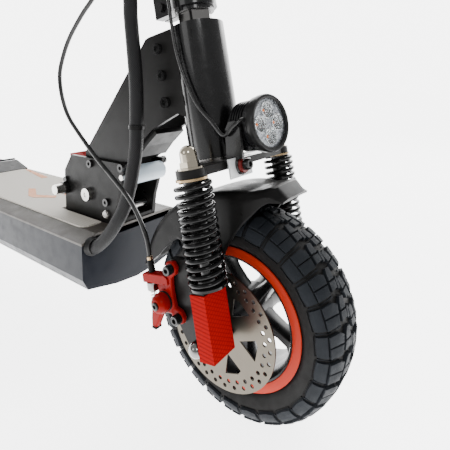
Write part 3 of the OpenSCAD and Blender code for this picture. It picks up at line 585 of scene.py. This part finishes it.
for sg, tag in ((-1, "right"), (1, "left")):
    sp = coil("front_spring_" + tag, 13.5, 18.6, 4.7, 66.6, 173.3, lambda a, b, t, sg=sg: F(34.8 + a, sg * 92 + b, t), (-SR, 0, CR), M["spring"])
    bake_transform(sp)
    wsh = lathe("spring_washer_" + tag, [(175.5, 10.4), (175.5, 17.2), (177.9, 17.2), (177.9, 10.4)], F(34.8, sg * 92, 0), M["gold"], seg=48, axis="T"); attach(wsh, "fork")
    bst = lathe("spring_seat_" + tag, [(63.9, 6.5), (63.9, 19.5), (66.5, 19.5), (67.5, 18), (67.5, 10.8), (74, 10.6), (74, 6.5)], F(34.8, sg * 92, 0), M["blacksteel"], seg=40, axis="T"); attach(bst, "fork_lower")
    if sg < 0:
        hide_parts("front_springs")
    rs = coil("rear_spring_" + tag, 6, 12.5, 4, 148.4, 195.6, lambda a, b, t, sg=sg: V(-345 + a, sg * 77 + b, t), (0, 0, 1), M["red"])
    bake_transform(rs)
    if sg < 0:
        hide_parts("rear_springs")

# ------------------------------------------------------------------ held cables
SLEEVE = [[228.5, -82, 177], [237, -82, 177.5], [248, -82, 185], [262, -79, 199], [277, -74, 222], [286, -69, 243], [295, -65, 277], [303, -63, 318], [304, -62, 350], [305, -62, 397],
          [302, -62, 436], [297, -62, 487], [296, -62, 513], [280, -58, 600], [264, -50, 700], [245, -43, 800], [226, -39, 900], [211, -38, 980], [204, -38, 1056]]
BRAKE = [[353, -88, 201], [351, -88, 211], [347, -88, 224], [335, -88, 244], [317, -88, 264], [286, -88, 286], [253, -88, 308], [219, -88, 335], [194, -88, 358],
         [180, -88, 385], [176, -88, 413], [184, -88, 436], [202, -88, 463], [232, -88, 491], [262, -87, 515], [286, -84, 548], [290, -80, 600], [278, -78, 700], [262, -86, 800],
         [250, -102, 900], [248, -122, 980], [250, -140, 1050], [250.2, -147, 1094]]
LAMP = [[450, -27, 366], [447, -38, 364], [441, -44, 357], [429, -44, 346], [410, -43, 361], [386, -41, 381], [367, -40, 411], [354, -40, 442], [345, -40, 480],
        [338, -40, 512], [314, -46, 570], [289, -52, 622]]


def route(p, sub):
    return cat([V(*q) for q in p], sub)


def part(pts, z0, z1):
    return [p for p in pts if z0 <= p.z <= z1]


sl = route(SLEEVE, 8)
lowpart = [p for p in sl if p.z <= 0.352]
hipart = [p for p in sl if p.z >= 0.345]
s1 = tube("sleeve_lower", lowpart, 0.0088, 20, M["braid"])
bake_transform(s1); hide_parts("cable_sleeve")
s2 = tube("sleeve_upper", hipart, 0.0088, 20, M["braid"])
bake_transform(s2)
bk = route(BRAKE, 6)
k_low = [i for i, p in enumerate(bk) if p.z <= 0.300 and i < 60][-1]
k_mid = min(range(len(bk)), key=lambda i: (bk[i] - V(176, -88, 413)).length)
b1 = tube("brake_cable_low", bk[:k_low + 1], 0.0028, 12, M["cable"])
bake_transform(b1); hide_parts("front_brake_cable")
b2 = tube("brake_cable_loop", bk[k_low - 1:k_mid + 1], 0.0028, 12, M["cable"])
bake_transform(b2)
b3 = tube("brake_cable_up", bk[k_mid - 1:], 0.0028, 12, M["cable"])
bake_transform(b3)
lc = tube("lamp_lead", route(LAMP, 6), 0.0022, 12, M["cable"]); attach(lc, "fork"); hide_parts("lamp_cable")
# ties and ferrules
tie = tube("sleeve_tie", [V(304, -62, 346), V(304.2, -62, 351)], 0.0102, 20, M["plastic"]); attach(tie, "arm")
fer = tube("cable_ferrule", [F(-55, -88, 68), F(-55, -88, 80), F(-55, -88, 84)], 0.004, 20, M["plastic"], radii=[0.0042, 0.0042, 0.0036])
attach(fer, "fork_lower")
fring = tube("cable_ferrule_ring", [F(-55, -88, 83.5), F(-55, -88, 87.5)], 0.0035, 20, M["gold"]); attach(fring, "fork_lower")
inner = tube("brake_inner_wire", [F(-55, -88, 50), F(-53, -92, 38), F(-48, -98, 22), F(-45.5, -99.5, 12)], 0.0008, 8, M["steel"])
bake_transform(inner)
ret = coil("caliper_return_spring", 10, 3.3, 0.8, 22, 49, lambda a, b, t: F(-55 + a + (49 - t) * 0.16, -89.5 - (49 - t) * 0.26 + b, t), (-SR, 0, CR), M["steel"], seg=16, sides=6)
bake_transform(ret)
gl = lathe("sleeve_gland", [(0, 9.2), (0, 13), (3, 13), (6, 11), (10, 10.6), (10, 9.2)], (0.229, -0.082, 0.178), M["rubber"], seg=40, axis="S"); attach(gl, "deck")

# ------------------------------------------------------------------ front fender, one moulded shell
SEC = [  # angle about the wheel, outer radius, half width, depth of the side skirt
    (68.6, 159.6, 30.5, 1.2), (68.7, 163.2, 31, 3.6), (74.0, 169.4, 35, 16), (76, 167.4, 38, 20), (79, 162.0, 41, 28), (84, 155.8, 44.6, 40), (89, 155.0, 46.8, 57), (95, 153.5, 47.8, 73),
    (101, 152.4, 48, 82), (108, 151.4, 48, 84), (116, 151, 48, 84), (124, 151, 48, 80), (131, 150.8, 48, 74), (132.4, 150.6, 48, 40), (134, 150.5, 48, 36), (140, 150, 48, 33), (148, 149.4, 47.6, 29), (156, 148.6, 47, 24), (163, 147.6, 46.2, 15), (168, 147, 45.4, 6)]
verts, faces = [], []
row = None
rows_n = 0
NA = 0
import itertools
dense = []
for i in range(len(SEC) - 1):
    for k in range(3):
        q = k / 3
        dense.append(tuple(SEC[i][j] * (1 - q) + SEC[i + 1][j] * q for j in range(4)))
dense.append(SEC[-1])
for (a, R0, hw, sk) in dense:
    a = math.radians(a)
    er = min(9.0, sk * 0.62)
    fz = max(0.0, min(1.0, (math.degrees(a) - 72) / 22))
    fz = fz * fz * (3 - 2 * fz)
    prof = []
    for side in (-1, 1):
        half = []
        for k in range(7):   # skirt, from its lower edge up
            half.append((side * hw, R0 - er - max(0.2, sk - er) * (1 - k / 6)))
        for k in range(1, 6):  # rounded shoulder, a flat facet at the beak
            w = math.pi / 2 * k / 5
            ya, ra = hw - er + er * math.cos(w), R0 - er + er * math.sin(w)
            yb, rb = hw - 10 * k / 5, R0 - er + er * (k / 5)
            half.append((side * (ya * fz + yb * (1 - fz)), ra * fz + rb * (1 - fz)))
        for k in range(1, 4):
            half.append((side * (hw - er * fz - 10 * (1 - fz)) * (1 - k / 4), R0 + min(1.0, sk * 0.05) * math.sin(math.pi / 2 * k / 4)))
        prof.append(half)
    line = prof[0] + [(0, R0 + min(1.0, sk * 0.05))] + prof[1][::-1]
    rows_n = len(line)
    for (y, r) in line:
        verts.append(V(440 + r * math.cos(a), y, 128 + r * math.sin(a)))
    NA += 1
for i in range(NA - 1):
    for j in range(rows_n - 1):
        faces.append((i * rows_n + j, i * rows_n + j + 1, (i + 1) * rows_n + j + 1, (i + 1) * rows_n + j))
fen = add("front_fender_shell", verts, faces, M["plastic"], smooth=True, angle=40)
so = fen.modifiers.new("wall", "SOLIDIFY"); so.thickness = 0.0024; so.offset = -1
bevel(fen, 0.0004, 1, 50)
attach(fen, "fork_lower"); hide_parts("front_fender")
vs = []; fs = []
for sg in (-1, 1):
    b0 = len(vs)
    for (s_, t_) in ((-21, 73.6), (-9, 73.6), (-9, 80), (-21, 80)):
        for y in (47, 76):
            vs.append(V(440 + s_ * CR - t_ * SR, sg * y, 128 + s_ * SR + t_ * CR))
    fs += [(b0, b0 + 1, b0 + 3, b0 + 2), (b0 + 2, b0 + 3, b0 + 5, b0 + 4), (b0 + 4, b0 + 5, b0 + 7, b0 + 6), (b0 + 6, b0 + 7, b0 + 1, b0), (b0, b0 + 2, b0 + 4, b0 + 6), (b0 + 1, b0 + 3, b0 + 5, b0 + 7)]
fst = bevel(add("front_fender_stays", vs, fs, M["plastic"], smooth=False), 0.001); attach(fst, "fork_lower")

# ------------------------------------------------------------------ headlamp: bezel, four cups with their chips
LC = F(0, 0, 222)
YAW = Matrix.Rotation(math.radians(-8), 3, Vector((-SR, 0, CR)))
YP = F(60, 0, 222)


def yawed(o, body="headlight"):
    for v in o.data.vertices:
        v.co = YP + YAW @ (v.co - YP)
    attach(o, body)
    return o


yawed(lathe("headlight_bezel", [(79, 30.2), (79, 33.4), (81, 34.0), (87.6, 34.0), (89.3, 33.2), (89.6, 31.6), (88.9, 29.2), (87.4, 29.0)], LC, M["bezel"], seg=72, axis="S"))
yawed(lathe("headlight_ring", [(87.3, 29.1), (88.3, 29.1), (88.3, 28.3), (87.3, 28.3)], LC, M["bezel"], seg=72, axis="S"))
cups, chips = [], []
for k_, (cy_, ct) in enumerate(((0, 15.4), (15.4, 0), (-15.4, 0), (0, -15.4))):
    c = F(0, cy_, 222 + ct)
    cups.append(lathe("cup", [(85.2, 10.8), (86.6, 10.5), (86.8, 9.9), (85.6, 9.3), (82.6, 8.2), (80.2, 6.4), (79.0, 4.6), (78.6, 3), (78.6, 0.2)], c, M["silver"], seg=12, axis="S", closed=False, angle=8))
    # each chip glows faintly: a painted orange glint
    chips.append(lathe("chip", [(81.4, 0.1), (81.2, 1.2), (80.8, 1.7), (78.3, 1.9)], c, M["led"], seg=20, axis="S", closed=False))
wv, wf, widx = [], [], {}
for gi in range(-37, 37):
    for gj in range(-37, 37):
        my, mt = (gi + 0.5) * 0.8, (gj + 0.5) * 0.8
        if math.hypot(my, mt) > 29.2 or min(math.hypot(my - a, mt - b) for a, b in ((0, 15.4), (15.4, 0), (-15.4, 0), (0, -15.4))) < 10.0:
            continue
        q = []
        for (ci, cj) in ((gi, gj), (gi + 1, gj), (gi + 1, gj + 1), (gi, gj + 1)):
            if (ci, cj) not in widx:
                widx[(ci, cj)] = len(wv)
                wv.append(F(85.6, ci * 0.8, 222 + cj * 0.8))
            q.append(widx[(ci, cj)])
        wf.append(tuple(q))
back_plate = add("plate", wv, wf, M["web"], angle=30)
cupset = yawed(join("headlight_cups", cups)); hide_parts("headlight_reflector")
yawed(join("headlight_chips", chips))
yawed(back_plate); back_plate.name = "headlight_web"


# ------------------------------------------------------------------ shapes cut from plate in the steering frame
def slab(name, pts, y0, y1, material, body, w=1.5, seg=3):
    "a plate with outline (s, t), between two y, with rounded edges of w millimetres"
    n = len(pts)
    vs = [F(p[0], y0, p[1]) for p in pts] + [F(p[0], y1, p[1]) for p in pts]
    fs = [tuple(range(n)), tuple(range(2 * n - 1, n - 1, -1))] + [(j, (j + 1) % n, n + (j + 1) % n, n + j) for j in range(n)]
    o = add(name, vs, fs, material, smooth=True, angle=35)
    bevel(o, w / 1000, seg, 30)
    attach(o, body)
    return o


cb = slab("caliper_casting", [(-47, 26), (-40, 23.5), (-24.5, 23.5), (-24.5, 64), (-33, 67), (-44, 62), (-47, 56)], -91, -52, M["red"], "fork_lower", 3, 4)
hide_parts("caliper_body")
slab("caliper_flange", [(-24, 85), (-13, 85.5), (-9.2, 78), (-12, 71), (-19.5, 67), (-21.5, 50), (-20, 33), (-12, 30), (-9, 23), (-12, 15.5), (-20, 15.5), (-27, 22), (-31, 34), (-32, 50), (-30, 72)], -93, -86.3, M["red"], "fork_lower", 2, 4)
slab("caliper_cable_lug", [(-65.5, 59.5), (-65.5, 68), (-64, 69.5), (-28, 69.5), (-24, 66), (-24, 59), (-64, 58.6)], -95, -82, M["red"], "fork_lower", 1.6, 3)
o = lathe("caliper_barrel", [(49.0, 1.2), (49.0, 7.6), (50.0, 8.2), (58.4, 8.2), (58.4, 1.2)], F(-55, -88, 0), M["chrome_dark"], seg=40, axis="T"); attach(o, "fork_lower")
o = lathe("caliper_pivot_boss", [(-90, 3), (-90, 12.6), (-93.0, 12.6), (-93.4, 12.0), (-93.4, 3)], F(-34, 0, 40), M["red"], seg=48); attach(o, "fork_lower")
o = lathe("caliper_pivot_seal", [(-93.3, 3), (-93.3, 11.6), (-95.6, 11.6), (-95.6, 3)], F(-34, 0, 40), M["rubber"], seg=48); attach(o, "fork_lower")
dome = lathe("caliper_arm_dome", [(-95.8, 0.2), (-95.8, 11.0), (-99.5, 11.4), (-103.5, 10.8), (-106.5, 9.0), (-108.2, 6.6), (-108.2, 0.2)], F(-34, 0, 40), M["red"], seg=48, closed=False)
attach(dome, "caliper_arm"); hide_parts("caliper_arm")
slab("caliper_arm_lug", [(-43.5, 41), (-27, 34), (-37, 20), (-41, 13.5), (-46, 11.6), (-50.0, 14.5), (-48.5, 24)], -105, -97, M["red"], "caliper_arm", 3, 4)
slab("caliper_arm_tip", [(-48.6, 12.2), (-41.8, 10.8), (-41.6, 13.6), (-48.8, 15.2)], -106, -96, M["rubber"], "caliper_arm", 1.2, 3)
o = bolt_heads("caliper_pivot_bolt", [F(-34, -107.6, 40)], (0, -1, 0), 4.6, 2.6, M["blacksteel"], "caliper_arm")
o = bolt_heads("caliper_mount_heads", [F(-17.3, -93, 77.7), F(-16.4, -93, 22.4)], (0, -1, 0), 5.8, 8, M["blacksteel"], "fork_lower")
# stop plate: its flange and its socket bolt
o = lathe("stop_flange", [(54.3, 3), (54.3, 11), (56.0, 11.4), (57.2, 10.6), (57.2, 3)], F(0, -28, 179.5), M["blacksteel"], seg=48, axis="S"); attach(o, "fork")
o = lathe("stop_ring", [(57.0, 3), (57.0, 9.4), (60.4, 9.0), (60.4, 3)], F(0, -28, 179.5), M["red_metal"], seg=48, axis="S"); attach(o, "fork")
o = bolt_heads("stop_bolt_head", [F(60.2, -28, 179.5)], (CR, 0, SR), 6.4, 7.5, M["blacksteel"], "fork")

# ------------------------------------------------------------------ orange marks on the mat, plain shapes
def mark(name, pts):
    vs = [V(x, y, 196.35) for x, y in pts] + [V(x, y, 196.7) for x, y in pts]
    n = len(pts)
    fs = [tuple(range(n, 2 * n))] + [(j, (j + 1) % n, n + (j + 1) % n, n + j) for j in range(n)]
    o = add(name, vs, fs, M["orange"], smooth=False)
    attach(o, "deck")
    return o


mark("mat_mark_front", [(-70, -16), (-20, -42), (-4, -42), (30, -18), (20, -10), (-14, -30), (-58, -8)])
mark("mat_mark_front_tail", [(-24, 6), (30, 2), (44, 14), (-10, 18)])
mark("mat_mark_rear", [(-246, 66), (-130, 44), (-128, 58), (-244, 72)])

# small rounding on the plain CAD edges
for n in ("fork_crown", "arm_plates", "base_bracket", "stem_clamp", "fork_leg_right", "fork_leg_left", "headlight_bracket", "caliper_body", "release_lever",
          "deck_tray", "deck_top_plate", "rear_footrest", "display_unit", "swingarm", "leg_reflectors", "lever_left", "lever_right", "kickstand"):
    bevel(N[n], 0.0007, 2, 40)

# ------------------------------------------------------------------ floor and light
fl = bpy.data.meshes.new("floor")
fl.from_pydata([(-40, -40, -0.001), (40, -40, -0.001), (40, 40, -0.001), (-40, 40, -0.001)], [], [(0, 1, 2, 3)])
flo = bpy.data.objects.new("floor", fl); bpy.context.scene.collection.objects.link(flo)
fm, fnt, fb = nodes_of("pale_floor"); fb.inputs["Base Color"].default_value = (0.97, 0.97, 0.97, 1); fb.inputs["Roughness"].default_value = 0.9
fb.inputs["Specular IOR Level"].default_value = 0.1
ftc = fnt.nodes.new("ShaderNodeTexCoord")
fdt = fnt.nodes.new("ShaderNodeVectorMath"); fdt.operation = "DOT_PRODUCT"; fdt.inputs[1].default_value = (-0.591, 0.807, 0.0)
fnt.links.new(ftc.outputs["Object"], fdt.inputs[0])
fmr = fnt.nodes.new("ShaderNodeMapRange"); fmr.interpolation_type = "SMOOTHSTEP"
fmr.inputs["From Min"].default_value = -0.85; fmr.inputs["From Max"].default_value = -0.35
fmr.inputs["To Min"].default_value = 0.5; fmr.inputs["To Max"].default_value = 4.2
fnt.links.new(fdt.outputs["Value"], fmr.inputs["Value"])
fb.inputs["Emission Color"].default_value = (1, 1, 1, 1)
fnt.links.new(fmr.outputs["Result"], fb.inputs["Emission Strength"])
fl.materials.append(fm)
w = bpy.data.worlds.new("World"); bpy.context.scene.world = w
w.use_nodes = True
wt = w.node_tree
wb = wt.nodes["Background"]
wc = wt.nodes.new("ShaderNodeTexCoord")
wd = wt.nodes.new("ShaderNodeVectorMath"); wd.operation = "DOT_PRODUCT"
wd.inputs[1].default_value = (-0.591, 0.807, 0.0)
wt.links.new(wc.outputs["Generated"], wd.inputs[0])
wm = wt.nodes.new("ShaderNodeMapRange"); wm.interpolation_type = "SMOOTHSTEP"
wm.inputs["From Min"].default_value = 0.35
wm.inputs["From Max"].default_value = 0.72
wm.inputs["To Min"].default_value = 0.7
wm.inputs["To Max"].default_value = 6.0
wt.links.new(wd.outputs["Value"], wm.inputs["Value"])
wb.inputs["Color"].default_value = (1, 1, 1, 1)
wt.links.new(wm.outputs["Result"], wb.inputs["Strength"])


def area(name, loc, aim, size, power, col=(1, 1, 1)):
    d = bpy.data.lights.new(name, "AREA"); d.energy = power; d.size = size; d.color = col
    o = bpy.data.objects.new(name, d); bpy.context.scene.collection.objects.link(o)
    o.location = loc
    o.rotation_mode = "QUATERNION"
    o.rotation_quaternion = (Vector(aim) - Vector(loc)).to_track_quat("-Z", "Y")


area("key", (1.9, -1.6, 1.9), (0.4, 0, 0.3), 0.7, 20)
area("fill", (-0.4, -2.2, 1.2), (0.3, 0, 0.3), 1.0, 9)
area("rim", (0.8, 2.0, 1.6), (0.4, 0, 0.4), 1.2, 18)
